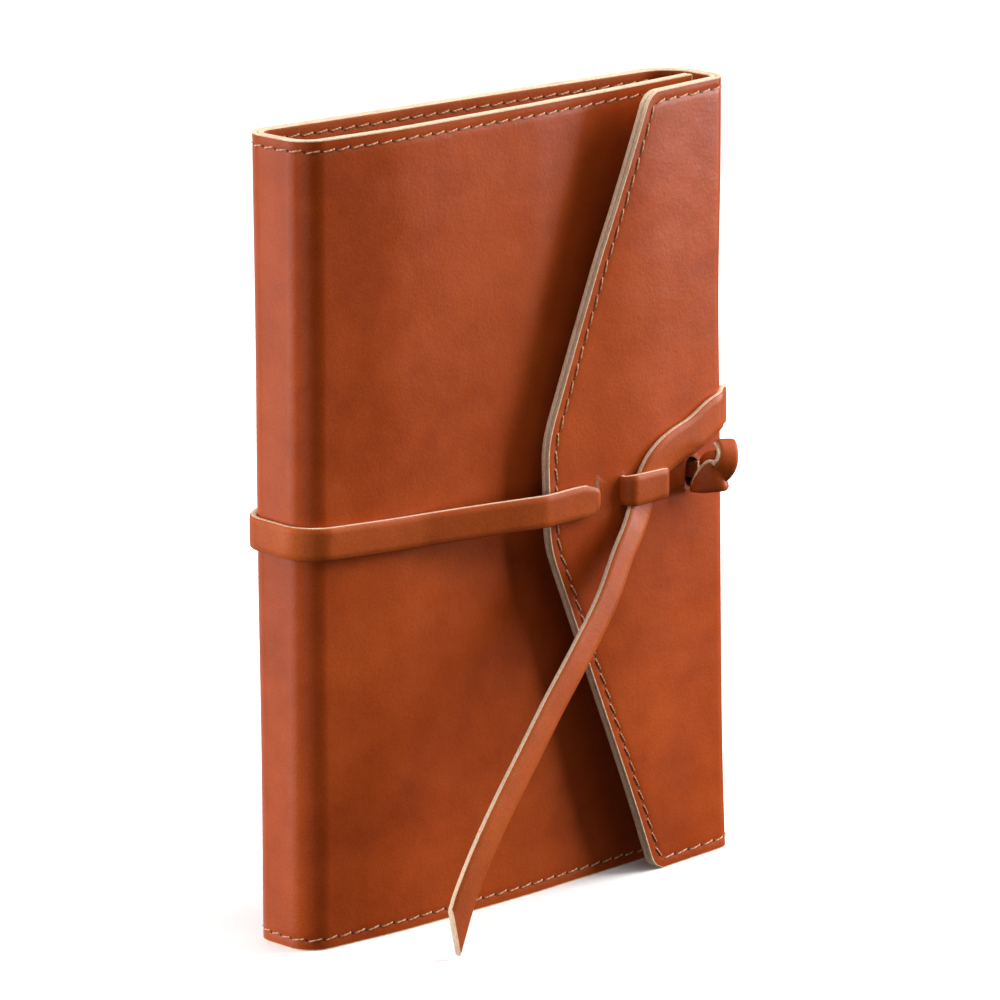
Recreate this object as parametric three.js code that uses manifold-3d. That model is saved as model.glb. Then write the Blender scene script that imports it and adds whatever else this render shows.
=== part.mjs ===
// A refillable leather notebook cover, closed and tied, standing on its bottom edge.
// Millimetres. X runs from the spine to the fold, the front looks along -Y, and +Z is up.
// One stitched sheet (outer leather and lining) runs from the front panel round the spine, the
// back and the fold to a pointed flap. A flat lace is woven through the flap, goes once round
// the cover and tucks under its own keeper loop.

import * as THREE from "three";
import { mergeVertices } from "three/addons/utils/BufferGeometryUtils.js";
import Module from "manifold-3d";

const wasm = await Module();
wasm.setup();

// ---- Driving dimensions ----

const HEIGHT = 225;
const GAP = 0.3; // between pieces that touch on the real cover
const HINGE_GAP = 0.5; // between the two halves of a bend

const OUTER_LEATHER = 1.4; // thickness
const SHEET = 3; // outer leather, glue line and lining together
const SLEEVE = 0.8;

// The sheet's outer face in plan, as corners [x, y, radius], from the front's free edge to the flap's tip.
const SPINE_X = -82.6;
const BACK_Y = 13.5;
const FOLD_X = 76;
const SPINE_RADIUS = 8;
const FOLD_RADIUS = 13;
const FLAP_RADIUS = 7;
const BOW_RADIUS = 150; // the gentle bends in the front panel and in the flap
const FRONT_CORNER = [SPINE_X, -12.6];
const FLAP_CORNER = [FOLD_X, -11.2];
const FLAP_BEND = [38, -17.4];
const FLAP_END = [-1, -18.4];

// The flap's outline seen from the front, as corners [x, z, radius].
const FLAP_OUTLINE = [
  [95, HEIGHT],
  [41.6, HEIGHT, 7],
  [21.4, 180, 120],
  [1.4, 131, 30],
  [2.3, 101.5, 30],
  [45.2, 0, 7],
  [95, 0],
];

const STITCH_INSET = 3;
const THREAD_WIDTH = 0.8;
const THREAD_THICKNESS = 0.4;
const SEAM_GAP = 2; // between two panels' seams, so that they stay apart when the bend opens

const LACE_WIDTH = 9.2;
const LACE_THICKNESS = 2;
const LOOP_WIDTH = 8.2; // the lace rolls in its edges where it passes a slit
const LOOP_HEIGHT = 113.8;
const SLIT_LEG_GAP = 0.4;
const SLITS = { knot: 60, loopRight: 48.4, loopLeft: 29.2, front: 20.2 }; // x of each slit
const LACE_AT_SLIT = 113; // heights of the lace's middle
const LACE_AT_SPINE = 114.8;
const LACE_AT_FOLD = 131;

const SLEEVE_WIDTH = 58;
const SLEEVE_MARGIN = 8; // from the cover's top and bottom edges
const SLEEVE_FRONT_START = 5; // from the front's free edge
const SLEEVE_BACK_END = 66; // x

const BEND_STEP = THREE.MathUtils.degToRad(9); // between sections round a bend

// ---- Lines in a plane ----

/** A line through corners [x, y, radius], rounded at each corner. Its left side counts as outside. */
class RoundedLine {
  constructor(corners) {
    this.points = [];
    this.bends = []; // the distance along the line at the middle of each rounded corner
    const at = corners.map(([x, y]) => new THREE.Vector2(x, y));
    at.forEach((here, i) => {
      const into = i > 0 ? here.clone().sub(at[i - 1]).normalize() : null;
      const out = i < at.length - 1 ? at[i + 1].clone().sub(here).normalize() : null;
      if (into && out) this.addBend(here, into, out, corners[i][2]);
      else this.addPoint(here, into ?? out);
    });
    this.length = this.points.at(-1).s;
  }

  addPoint(p, direction) {
    const last = this.points.at(-1);
    const s = last ? last.s + last.p.distanceTo(p) : 0;
    this.points.push({ p, normal: leftOf(direction), s });
  }

  addBend(corner, into, out, radius) {
    const turn = Math.atan2(into.cross(out), into.dot(out));
    const side = Math.sign(turn);
    const reach = radius * Math.tan(Math.abs(turn) / 2);
    const start = corner.clone().addScaledVector(into, -reach);
    const centre = start.clone().addScaledVector(leftOf(into), radius * side);
    const steps = 2 * Math.max(1, Math.ceil(Math.abs(turn) / BEND_STEP / 2));
    for (let k = 0; k <= steps; k++) {
      const direction = into.clone().rotateAround(new THREE.Vector2(), (turn * k) / steps);
      this.addPoint(centre.clone().addScaledVector(leftOf(direction), -radius * side), direction);
      if (k === steps / 2) this.bends.push(this.points.at(-1).s);
    }
  }

  /** The point and the outward normal at a distance along the line. */
  at(s) {
    const i = Math.max(1, this.points.findIndex((q) => q.s >= s - 1e-9));
    const [a, b] = [this.points[i - 1], this.points[i]];
    const t = (s - a.s) / (b.s - a.s);
    return {
      p: a.p.clone().lerp(b.p, t),
      normal: a.normal.clone().lerp(b.normal, t).normalize(),
      s,
    };
  }

  /** The line's points from one distance to another, both ends included. */
  between(from, to) {
    const inner = this.points.filter((q) => q.s > from + 0.01 && q.s < to - 0.01);
    return [this.at(from), ...inner, this.at(to)];
  }

  /** The distance along the line where its x is nearest to a value, on the stretch past `after`. */
  whereX(x, after) {
    let best = after;
    for (let s = after; s <= this.length; s += 0.05) {
      if (Math.abs(this.at(s).p.x - x) < Math.abs(this.at(best).p.x - x)) best = s;
    }
    return best;
  }
}

function leftOf(direction) {
  return new THREE.Vector2(-direction.y, direction.x);
}

function offset(point, distance) {
  return point.p.clone().addScaledVector(point.normal, distance);
}

/** A flat shape: the strip beside a line, from the inner to the outer offset. */
function stripShape(line, from, to, inner, outer) {
  const stretch = line.between(from, to);
  const outside = stretch.map((q) => offset(q, outer));
  const inside = stretch.map((q) => offset(q, inner)).reverse();
  return new THREE.Shape([...outside, ...inside]);
}

// ---- Solids ----

function toSolid(geometry) {
  const bare = geometry.clone();
  bare.deleteAttribute("normal");
  bare.deleteAttribute("uv");
  const merged = mergeVertices(bare, 1e-4);
  return new wasm.Manifold(
    new wasm.Mesh({
      numProp: 3,
      vertProperties: merged.attributes.position.array,
      triVerts: new Uint32Array(merged.index.array),
    }),
  );
}

function toGeometry(solid) {
  const mesh = solid.getMesh();
  const geometry = new THREE.BufferGeometry();
  geometry.setAttribute("position", new THREE.BufferAttribute(mesh.vertProperties, 3));
  geometry.setIndex(new THREE.BufferAttribute(mesh.triVerts, 1));
  geometry.computeVertexNormals();
  return geometry;
}

/** A shape drawn in plan, raised from one height to another. */
function raise(shape, low = 0, high = HEIGHT) {
  const options = { depth: high - low, bevelEnabled: false, steps: 1 };
  return new THREE.ExtrudeGeometry(shape, options).translate(0, 0, low);
}

/** A shape drawn in the plane of the front (x and z), made deep enough to cut through everything. */
function throughFront(shape) {
  const options = { depth: 120, bevelEnabled: false, steps: 1 };
  return new THREE.ExtrudeGeometry(shape, options).rotateX(Math.PI / 2).translate(0, 60, 0);
}

/** A flat strap through sections {centre, face, across}: face is the way its good side looks. */
function strap(sections, width, thickness) {
  const geometry = new THREE.BoxGeometry(1, 1, sections.length - 1, 1, 1, sections.length - 1);
  const position = geometry.attributes.position;
  for (let i = 0; i < position.count; i++) {
    const along = Math.round(position.getZ(i) + (sections.length - 1) / 2);
    const { centre, face, across } = sections[along];
    const place = centre
      .clone()
      .addScaledVector(across, position.getX(i) * width)
      .addScaledVector(face, position.getY(i) * thickness);
    position.setXYZ(i, place.x, place.y, place.z);
  }
  return geometry;
}

// ---- The sheet ----

const coverLine = new RoundedLine([
  [71, -2.6],
  [4, -10.4, BOW_RADIUS],
  [-50, -13.6, BOW_RADIUS],
  [...FRONT_CORNER, SPINE_RADIUS],
  [SPINE_X, BACK_Y, SPINE_RADIUS],
  [FOLD_X, BACK_Y, FOLD_RADIUS],
  [...FLAP_CORNER, FLAP_RADIUS],
  [...FLAP_BEND, BOW_RADIUS],
  FLAP_END,
]);
const [spineFrontBend, spineBackBend, foldBackBend, foldFrontBend] = coverLine.bends.slice(2, 6);

const PANELS = {
  front: [0, spineFrontBend - HINGE_GAP / 2],
  spine: [spineFrontBend + HINGE_GAP / 2, spineBackBend - HINGE_GAP / 2],
  back: [spineBackBend + HINGE_GAP / 2, foldBackBend - HINGE_GAP / 2],
  fold: [foldBackBend + HINGE_GAP / 2, foldFrontBend - HINGE_GAP / 2],
  flap: [foldFrontBend + HINGE_GAP / 2, coverLine.length],
};
const flapEdge = new RoundedLine(FLAP_OUTLINE);

function slitCutter(name) {
  const { p, normal } = coverLine.at(coverLine.whereX(SLITS[name], foldFrontBend));
  const size = [LACE_THICKNESS + 2 * GAP, 4 * SHEET, LOOP_WIDTH + 2 * SLIT_LEG_GAP];
  return new THREE.BoxGeometry(...size)
    .rotateZ(Math.atan2(normal.y, normal.x) - Math.PI / 2)
    .translate(p.x, p.y, LOOP_HEIGHT);
}

/** One layer of one panel, between two offsets from the sheet's outer face. */
function panelLayer(panel, inner, outer) {
  const layer = raise(stripShape(coverLine, ...PANELS[panel], inner, outer));
  if (panel !== "flap") return layer;
  const outline = new THREE.Shape(flapEdge.points.map((q) => q.p));
  const cut = toSolid(layer).intersect(toSolid(throughFront(outline)));
  return toGeometry(
    Object.keys(SLITS).reduce((rest, name) => rest.subtract(toSolid(slitCutter(name))), cut),
  );
}

function sleeve(from, to) {
  const face = -SHEET - GAP;
  const shape = stripShape(coverLine, from, to, face - SLEEVE, face);
  return raise(shape, SLEEVE_MARGIN, HEIGHT - SLEEVE_MARGIN);
}

// ---- Thread ----

const threadFace = [GAP, GAP + THREAD_THICKNESS];
const seamNear = STITCH_INSET - THREAD_WIDTH / 2;
const seamFar = STITCH_INSET + THREAD_WIDTH / 2;

/** The stretch of a panel that its seam covers, which stops short of each bend's middle. */
function seamStretch(panel) {
  const [from, to] = PANELS[panel];
  const short = (SEAM_GAP - HINGE_GAP) / 2;
  return [from + short, to - short];
}

/** The seam along the top or the bottom edge of a panel. */
function edgeSeam(panel, edge) {
  const [low, high] = edge === "top" ? [HEIGHT - seamFar, HEIGHT - seamNear] : [seamNear, seamFar];
  return raise(stripShape(coverLine, ...seamStretch(panel), ...threadFace), low, high);
}

/** The front's seam, which runs along the top, down the free edge and back along the bottom. */
function frontSeam() {
  const [, to] = seamStretch("front");
  const top = stripShape(coverLine, seamNear, to, ...threadFace);
  const side = stripShape(coverLine, seamNear, seamFar, ...threadFace);
  return toGeometry(
    toSolid(raise(top, HEIGHT - seamFar, HEIGHT - seamNear))
      .add(toSolid(raise(top, seamNear, seamFar)))
      .add(toSolid(raise(side, seamNear, HEIGHT - seamNear))),
  );
}

/** The flap's seam, which follows its outline. */
function flapSeam() {
  const [from] = seamStretch("flap");
  const skin = raise(stripShape(coverLine, from, coverLine.length, ...threadFace));
  const seam = stripShape(flapEdge, 0, flapEdge.length, seamNear, seamFar);
  return toGeometry(toSolid(skin).intersect(toSolid(throughFront(seam))));
}

// ---- Lace ----

const LACE_MIDDLE = GAP + LACE_THICKNESS / 2; // from the face it lies on
const INSIDE_RUN = -SHEET - LACE_MIDDLE; // behind the flap
const OVER_LOOP = 2 * LACE_MIDDLE + LACE_THICKNESS; // the keeper loop arches over the lace under it
const WEAVE_RADIUS = 1.6;

function onFlap(x, out) {
  return offset(coverLine.at(coverLine.whereX(x, foldFrontBend)), out);
}

/** The lace in plan from the knot's slit to where it leaves the front slit. */
function weaveLine() {
  const { knot, loopRight, loopLeft, front } = SLITS;
  const stops = [
    [knot, GAP],
    [knot, INSIDE_RUN],
    [loopRight, INSIDE_RUN],
    [loopRight, OVER_LOOP],
    [loopLeft, OVER_LOOP],
    [loopLeft, INSIDE_RUN],
    [front, INSIDE_RUN],
    [front, LACE_MIDDLE],
    [front - 3.5, LACE_MIDDLE],
  ];
  return new RoundedLine(stops.map(([x, out]) => [...onFlap(x, out), WEAVE_RADIUS]));
}

function laceWeave() {
  const line = weaveLine();
  const half = LACE_THICKNESS / 2;
  const shape = stripShape(line, 0, line.length, -half, half);
  return raise(shape, LOOP_HEIGHT - LOOP_WIDTH / 2, LOOP_HEIGHT + LOOP_WIDTH / 2);
}

// The lace's middle in plan, from the front slit round the whole cover and onto the flap.
const laceLine = new RoundedLine([
  [...onFlap(SLITS.front - 3.5 - GAP, LACE_MIDDLE)],
  [-2, -20.7, 12],
  [-42, -14.8, 40],
  [SPINE_X - LACE_MIDDLE, FRONT_CORNER[1] - LACE_MIDDLE - 0.2, SPINE_RADIUS + LACE_MIDDLE],
  [SPINE_X - LACE_MIDDLE, BACK_Y + LACE_MIDDLE, SPINE_RADIUS + LACE_MIDDLE],
  [FOLD_X + LACE_MIDDLE, BACK_Y + LACE_MIDDLE, FOLD_RADIUS + LACE_MIDDLE],
  [FOLD_X + LACE_MIDDLE, FLAP_CORNER[1] - LACE_MIDDLE, FLAP_RADIUS + LACE_MIDDLE],
  [...onFlap(50, LACE_MIDDLE)],
]);
const [laceSpineFront, laceSpineBack, laceFoldBack, laceFoldFront] = laceLine.bends.slice(2);

/** The height of the lace's middle at a distance along laceLine. */
function laceHeight(s) {
  const { mapLinear, clamp } = THREE.MathUtils;
  if (s < laceSpineBack) {
    return clamp(mapLinear(s, 0, laceSpineFront, LACE_AT_SLIT, LACE_AT_SPINE), 0, LACE_AT_SPINE);
  }
  return mapLinear(s, laceSpineBack, laceFoldFront, LACE_AT_SPINE, LACE_AT_FOLD);
}

/** The lace round the cover, between two distances along laceLine. */
function laceRun(from, to) {
  const sections = laceLine.between(from, to).map(({ p, normal, s }) => ({
    centre: new THREE.Vector3(p.x, p.y, laceHeight(s)),
    face: new THREE.Vector3(normal.x, normal.y, 0),
    across: new THREE.Vector3(0, 0, -1),
  }));
  return strap(sections, LACE_WIDTH, LACE_THICKNESS);
}

// The lace's middle where it crosses the flap, from the fold to under the keeper loop, as [x, z].
const CROSS_ROUTE = [
  [68, 129.2],
  [60, 126],
  [52, 124.4],
  [46.8, 123],
  [42.2, 119.2],
  [39.3, 115.2],
  [37.4, 110.8],
  [36.2, 108.2],
];

// The free end's middle, from under the loop to its tip, as [x, y, z].
const TAIL_ROUTE = [
  [34.6, -19.5, 106.6],
  [31.2, -21, 102.7],
  [25.4, -23, 96.7],
  [16.5, -26, 85.8],
  [1.1, -30.5, 71.9],
  [-10.5, -33.2, 61.4],
  [-21.9, -35.8, 50.2],
  [-33.2, -38.2, 38.8],
  [-42.6, -40.2, 28.4],
  [-51.2, -42, 16.9],
  [-57.4, -43.7, 6.3],
];

/** Evenly spaced places on a smooth curve through points, each with its tangent. */
function alongCurve(points) {
  const curve = new THREE.CatmullRomCurve3(points, false, "centripetal");
  const count = 3 * points.length;
  return curve.getSpacedPoints(count).map((p, i) => ({ p, tangent: curve.getTangentAt(i / count) }));
}

/** The lace across the flap. Its route is smooth in (distance along the sheet, height). */
function laceCross() {
  const start = foldFrontBend + HINGE_GAP / 2;
  const route = CROSS_ROUTE.map(([x, z]) => [coverLine.whereX(x, foldFrontBend), z]);
  const level = [start, start + 2.5].map((s) => [s, LACE_AT_FOLD]);
  const points = [...level, ...route].map(([s, z]) => new THREE.Vector3(s, z, 0));
  const sections = alongCurve(points).map(({ p, tangent }) => {
    const here = coverLine.at(p.x);
    const centre = offset(here, LACE_MIDDLE);
    const face = new THREE.Vector3(here.normal.x, here.normal.y, 0);
    const forward = new THREE.Vector3(here.normal.y, -here.normal.x, 0).multiplyScalar(tangent.x);
    forward.z = tangent.y;
    const across = new THREE.Vector3().crossVectors(face, forward).normalize();
    return { centre: new THREE.Vector3(centre.x, centre.y, p.y), face, across };
  });
  return strap(sections, LACE_WIDTH, LACE_THICKNESS);
}

/** The free end, with its good side looking forwards. */
function laceTail() {
  const front = new THREE.Vector3(0, -1, 0);
  const sections = alongCurve(TAIL_ROUTE.map((p) => new THREE.Vector3(...p))).map(({ p, tangent }) => {
    const across = new THREE.Vector3().crossVectors(front, tangent).normalize();
    const face = new THREE.Vector3().crossVectors(tangent, across).normalize();
    return { centre: p, face, across };
  });
  return strap(sections, LACE_WIDTH, LACE_THICKNESS);
}

/** The knot: two crossing lobes on a core, as [x, out of the flap, z] and half sizes. */
function laceKnot() {
  const lobes = [
    { at: [61.5, 4.6, 112], size: [8, 3.9, 3.6] },
    { at: [69.5, 6.2, 116.6], size: [5.4, 5, 4.8] },
    { at: [65, 5.2, 114.4], size: [6, 4.4, 5.4] },
  ];
  return toGeometry(
    lobes
      .map(({ at: [x, out, z], size }) => {
        const place = onFlap(x, out);
        return toSolid(new THREE.SphereGeometry(1, 18, 12).scale(...size).translate(place.x, place.y, z));
      })
      .reduce((all, lobe) => all.add(lobe)),
  );
}

// ---- Materials ----

const leather = new THREE.MeshStandardMaterial({ color: 0xa5502c, roughness: 0.32, metalness: 0 });
const lining = new THREE.MeshStandardMaterial({ color: 0x9c4a22, roughness: 0.55, metalness: 0 });
const laceLeather = new THREE.MeshStandardMaterial({ color: 0xb4602f, roughness: 0.4, metalness: 0 });
const thread = new THREE.MeshStandardMaterial({ color: 0xd8a878, roughness: 0.8, metalness: 0 });

// ---- Assembly ----

const cover = new THREE.Group();

function place(name, geometry, material) {
  const mesh = new THREE.Mesh(geometry, material);
  mesh.name = name;
  cover.add(mesh);
}

for (const panel of Object.keys(PANELS)) {
  place(`outer_${panel}`, panelLayer(panel, -OUTER_LEATHER, 0), leather);
  place(`lining_${panel}`, panelLayer(panel, -SHEET, -OUTER_LEATHER - GAP), lining);
}

const sleeveBackEnd = coverLine.whereX(SLEEVE_BACK_END, spineBackBend);
place("sleeve_front", sleeve(SLEEVE_FRONT_START, SLEEVE_FRONT_START + SLEEVE_WIDTH), lining);
place("sleeve_back", sleeve(sleeveBackEnd - SLEEVE_WIDTH, sleeveBackEnd), lining);

place("thread_front", frontSeam(), thread);
place("thread_flap", flapSeam(), thread);
for (const panel of ["spine", "back", "fold"]) {
  for (const edge of ["top", "bottom"]) {
    place(`thread_${panel}_${edge}`, edgeSeam(panel, edge), thread);
  }
}

place("lace_knot", laceKnot(), laceLeather);
place("lace_weave", laceWeave(), laceLeather);
place("lace_front", laceRun(0, laceSpineFront - HINGE_GAP / 2), laceLeather);
place("lace_spine", laceRun(laceSpineFront + HINGE_GAP / 2, laceSpineBack - HINGE_GAP / 2), laceLeather);
place("lace_back", laceRun(laceSpineBack + HINGE_GAP / 2, laceFoldBack - HINGE_GAP / 2), laceLeather);
place("lace_fold", laceRun(laceFoldBack + HINGE_GAP / 2, laceFoldFront - HINGE_GAP / 2), laceLeather);
place("lace_cross", laceCross(), laceLeather);
place("lace_tail", laceTail(), laceLeather);

// The origin is on the surface that the cover stands on, under the middle of its box without the tail.
const body = new THREE.Box3();
for (const mesh of cover.children) {
  if (mesh.name !== "lace_tail") body.expandByObject(mesh);
}
const middle = body.getCenter(new THREE.Vector3());
cover.position.set(-middle.x, -middle.y, 0);

const part = new THREE.Group();
part.add(cover);
export default part;
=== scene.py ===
import math

import bmesh
import bpy
import numpy as np
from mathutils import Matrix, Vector


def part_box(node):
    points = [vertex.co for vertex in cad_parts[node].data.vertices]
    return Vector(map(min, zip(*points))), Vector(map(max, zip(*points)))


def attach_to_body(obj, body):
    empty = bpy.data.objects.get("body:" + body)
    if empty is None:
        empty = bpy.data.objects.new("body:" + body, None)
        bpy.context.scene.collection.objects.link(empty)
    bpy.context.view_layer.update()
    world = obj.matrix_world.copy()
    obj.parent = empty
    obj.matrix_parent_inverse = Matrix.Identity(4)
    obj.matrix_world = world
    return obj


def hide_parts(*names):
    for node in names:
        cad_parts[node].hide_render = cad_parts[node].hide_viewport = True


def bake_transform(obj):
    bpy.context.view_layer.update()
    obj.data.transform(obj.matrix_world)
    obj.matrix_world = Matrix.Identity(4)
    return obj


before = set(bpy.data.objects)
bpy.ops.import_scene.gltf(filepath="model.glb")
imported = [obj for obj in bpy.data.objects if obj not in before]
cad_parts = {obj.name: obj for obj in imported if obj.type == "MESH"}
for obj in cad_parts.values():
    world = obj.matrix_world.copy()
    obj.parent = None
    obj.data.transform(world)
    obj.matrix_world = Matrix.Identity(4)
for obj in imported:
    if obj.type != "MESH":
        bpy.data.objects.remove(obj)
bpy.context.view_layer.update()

# A leather notebook cover, closed and tied. Shapes are worked out in millimetres in the drawing's own
# frame, whose origin is the middle of the front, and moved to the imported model's frame by ORIGIN.

MM = 0.001

# ---- Driving dimensions, in millimetres ----

HEIGHT = 225
OUTER_LEATHER = 1.45
SHEET = 3.1
GLUE_LINE = 0.08
SLEEVE = 0.8
SLEEVE_WIDTH = 58
SLEEVE_MARGIN = 8  # from the cover's top and bottom edges
SLEEVE_START = 5  # of the front sleeve, from the front's free edge
SLEEVE_END_X = 64  # of the back sleeve
SLEEVE_GAP = 0.3  # between a sleeve and the lining
ROUNDING = 0.3  # of the cut edges

SPINE_X = -82.6
BACK_Y = 13.5
FOLD_X = 76
SPINE_RADIUS = 8
FOLD_RADIUS = 13
FLAP_RADIUS = 7
BOW_RADIUS = 150  # the gentle bends in the front panel and in the flap
FRONT_LINE = [(71, -2.6, 0), (4, -10.4, BOW_RADIUS), (-50, -13.6, BOW_RADIUS)]
FRONT_CORNER = (SPINE_X, -12.6)
FLAP_CORNER = (FOLD_X, -11.2)
FLAP_BEND = (38, -17.4)
FLAP_END = (-1, -18.4)
FLAP_OUTLINE = [  # x, height and radius of each corner
    (95, HEIGHT, 0),
    (41.6, HEIGHT, 7),
    (21.4, 180, 120),
    (1.4, 131, 30),
    (2.3, 101.5, 30),
    (45.2, 0, 7),
    (95, 0, 0),
]

STITCH_INSET = 3
STITCH_PITCH = 5
THREAD = 0.45  # diameter
HOLE_SIZE = (0.36, 0.42)  # half of a needle hole, along the sheet and up

LACE_WIDTH = 9
CROSSING_WIDTH = 10.6  # the lace flattens where it is pulled round the fold and over the flap
TAIL_WIDTH = 8.5
LACE_THICKNESS = 2
LACE_LIFT = 0.25  # between the lace and the face that it lies on
LOOP_WIDTH = 9
LOOP_HEIGHT = 113.8
SLITS = {"knot": 60, "loop_right": 46.6, "loop_left": 30.2, "front": 20.2}  # x of each

ORIGIN = np.array([
    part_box("outer_spine")[0].x / MM - SPINE_X,
    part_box("outer_back")[1].y / MM - BACK_Y,
    0,
])


def to_frame(points):
    """Points of the drawing, in millimetres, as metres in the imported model's frame."""
    return (np.asarray(points, float) + ORIGIN) * MM


# ---- Camera ----

CAMERA_AZIMUTH = math.radians(-42.5)
CAMERA_ELEVATION = math.radians(12.93)
CAMERA_DISTANCE = 2.033
CAMERA_LENS = 262.5
CAMERA_SENSOR = 36
CAMERA_CLIP = (0.1, 30)


def make_camera():
    data = bpy.data.cameras.new("camera")
    data.lens = CAMERA_LENS
    data.sensor_width = CAMERA_SENSOR
    data.clip_start, data.clip_end = CAMERA_CLIP
    camera = bpy.data.objects.new("camera", data)
    bpy.context.scene.collection.objects.link(camera)
    target = Vector(to_frame([0, 0, HEIGHT / 2]))
    back = Vector((
        math.sin(CAMERA_AZIMUTH) * math.cos(CAMERA_ELEVATION),
        -math.cos(CAMERA_AZIMUTH) * math.cos(CAMERA_ELEVATION),
        math.sin(CAMERA_ELEVATION),
    ))
    camera.location = target + back * CAMERA_DISTANCE
    camera.rotation_euler = (-back).to_track_quat("-Z", "Y").to_euler()
    bpy.context.scene.camera = camera


# ---- Lines in plan ----


def left_of(v):
    return np.array([-v[1], v[0]])


def turned(v, angle):
    c, s = math.cos(angle), math.sin(angle)
    return np.array([c * v[0] - s * v[1], s * v[0] + c * v[1]])


def unit(v):
    return v / np.linalg.norm(v)


def unit_rows(rows):
    return rows / np.linalg.norm(rows, axis=1, keepdims=True)


def distances(points):
    """How far along their line each of the points is."""
    return np.concatenate([[0], np.cumsum(np.linalg.norm(np.diff(points, axis=0), axis=1))])


def rounded_corner(corner, into, out, radius, arc_step):
    """The points and directions of an arc that rounds a corner, with an odd number of points."""
    turn = math.atan2(into[0] * out[1] - into[1] * out[0], into @ out)
    inside = left_of(into) * radius * math.copysign(1, turn)
    start = corner - into * radius * math.tan(abs(turn) / 2)
    steps = 2 * max(1, math.ceil(abs(math.degrees(turn)) / arc_step / 2))
    angles = [turn * k / steps for k in range(steps + 1)]
    points = [start + inside - turned(inside, angle) for angle in angles]
    return points, [turned(into, angle) for angle in angles]


class RoundedLine:
    """A line in a plane through corners (x, y, radius), rounded at each. Its left side is outside."""

    def __init__(self, corners, arc_step=3):
        at = [np.array(c[:2], float) for c in corners]
        points, directions, middles = [at[0]], [unit(at[1] - at[0])], []
        for before, here, after, corner in zip(at, at[1:], at[2:], corners[1:]):
            arc, ways = rounded_corner(here, unit(here - before), unit(after - here), corner[2], arc_step)
            middles.append(len(points) + len(arc) // 2)
            points += arc
            directions += ways
        self.points = np.array([*points, at[-1]])
        self.normals = np.array([left_of(d) for d in [*directions, unit(at[-1] - at[-2])]])
        self.s = distances(self.points)
        self.bends = self.s[middles]
        self.length = self.s[-1]

    def normal(self, s):
        n = np.stack([np.interp(s, self.s, self.normals[:, k]) for k in range(2)], axis=-1)
        return n / np.linalg.norm(n, axis=-1, keepdims=True)

    def place(self, s, out=0.0):
        p = np.stack([np.interp(s, self.s, self.points[:, k]) for k in range(2)], axis=-1)
        return p + self.normal(s) * np.asarray(out, float)[..., None]

    def at_x(self, x, after):
        """The distance along the line where it has that x, on the stretch past `after`."""
        fine = np.linspace(after, self.length, 4000)
        along = self.place(fine)[:, 0]
        order = np.argsort(along)
        return np.interp(x, along[order], fine[order])


def smoothstep(low, high, value):
    t = np.clip((np.asarray(value, float) - low) / (high - low), 0, 1)
    return t * t * (3 - 2 * t)


def spaced(low, high, step):
    return np.linspace(low, high, max(2, math.ceil((high - low) / step) + 1))


# ---- The sheet: one piece of lined leather, in (distance along it, height, out of its outer face) ----

COVER = RoundedLine([
    *FRONT_LINE,
    (*FRONT_CORNER, SPINE_RADIUS),
    (SPINE_X, BACK_Y, SPINE_RADIUS),
    (FOLD_X, BACK_Y, FOLD_RADIUS),
    (*FLAP_CORNER, FLAP_RADIUS),
    (*FLAP_BEND, BOW_RADIUS),
    (*FLAP_END, 0),
])
SPINE_FRONT, SPINE_BACK, FOLD_BACK, FOLD_FRONT = COVER.bends[2:6]
FREE_EDGE = 0.0
MID_FRONT = SPINE_FRONT - 50
MID_SPINE = (SPINE_FRONT + SPINE_BACK) / 2
MID_BACK = (SPINE_BACK + FOLD_BACK) / 2
MID_FOLD = (FOLD_BACK + FOLD_FRONT) / 2

outline_in_plane = RoundedLine(FLAP_OUTLINE)
OUTLINE = np.column_stack([
    COVER.at_x(outline_in_plane.points[:, 0], FOLD_FRONT),
    outline_in_plane.points[:, 1],
])


def flap_edge(z):
    """How far along the sheet the flap's edge is at a height."""
    inner = OUTLINE[1:-1][::-1]
    return np.interp(z, inner[:, 1], inner[:, 0])


FLARE = 1.15  # how far the fold stands out in X
FLARE_AT_FOOT = 3.8  # and how much more at the bottom, where the sheet opens a little
FLARE_DIP = (0.8, 165, 28)  # how much less round a height, that height, and the reach of the dip
FLARE_REACH = (45, 34)  # how far along the back and along the flap it dies away
LEAN_AT_FOOT = -2.2  # how far the spine's back leans in Y at the bottom
LEAN_REACH = 70  # how far along the back it dies away


def fold_flare(z):
    """How far the fold stands out in X at a height."""
    depth, middle, reach = FLARE_DIP
    return FLARE + FLARE_AT_FOOT * (1 - z / HEIGHT) ** 3 - depth * np.exp(-(((z - middle) / reach) ** 2))


def spine_lean(z):
    """How far the spine's back leans in Y at a height."""
    return LEAN_AT_FOOT * (1 - z / HEIGHT)


def waviness(s, z):
    """The soft unevenness of the leather, calmer at the keeper loop's height."""
    wave = 0.16 * np.sin(s / 21 + 1.3) * np.sin(z / 33 + 0.5) + 0.09 * np.sin(s / 12 + z / 19)
    return wave * (1 - 0.8 * smoothstep(12, 0, np.abs(z - LOOP_HEIGHT)))


def sheet(s, z, out=0.0):
    """Where a point of the sheet is, in millimetres."""
    s, z, out = np.broadcast_arrays(np.asarray(s, float), np.asarray(z, float), np.asarray(out, float))
    xy = COVER.place(s, out + waviness(s, z))
    into_back, into_flap = FLARE_REACH
    at_fold = smoothstep(FOLD_BACK - into_back, FOLD_BACK, s)
    at_fold = at_fold * smoothstep(FOLD_FRONT + into_flap, FOLD_FRONT + 4, s)
    at_spine = smoothstep(SPINE_FRONT + 4, SPINE_BACK - 3, s)
    at_spine = at_spine * smoothstep(SPINE_BACK + LEAN_REACH, SPINE_BACK, s)
    x = xy[..., 0] + fold_flare(z) * at_fold
    y = xy[..., 1] + spine_lean(z) * at_spine
    return np.stack([x, y, z], axis=-1)


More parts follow.
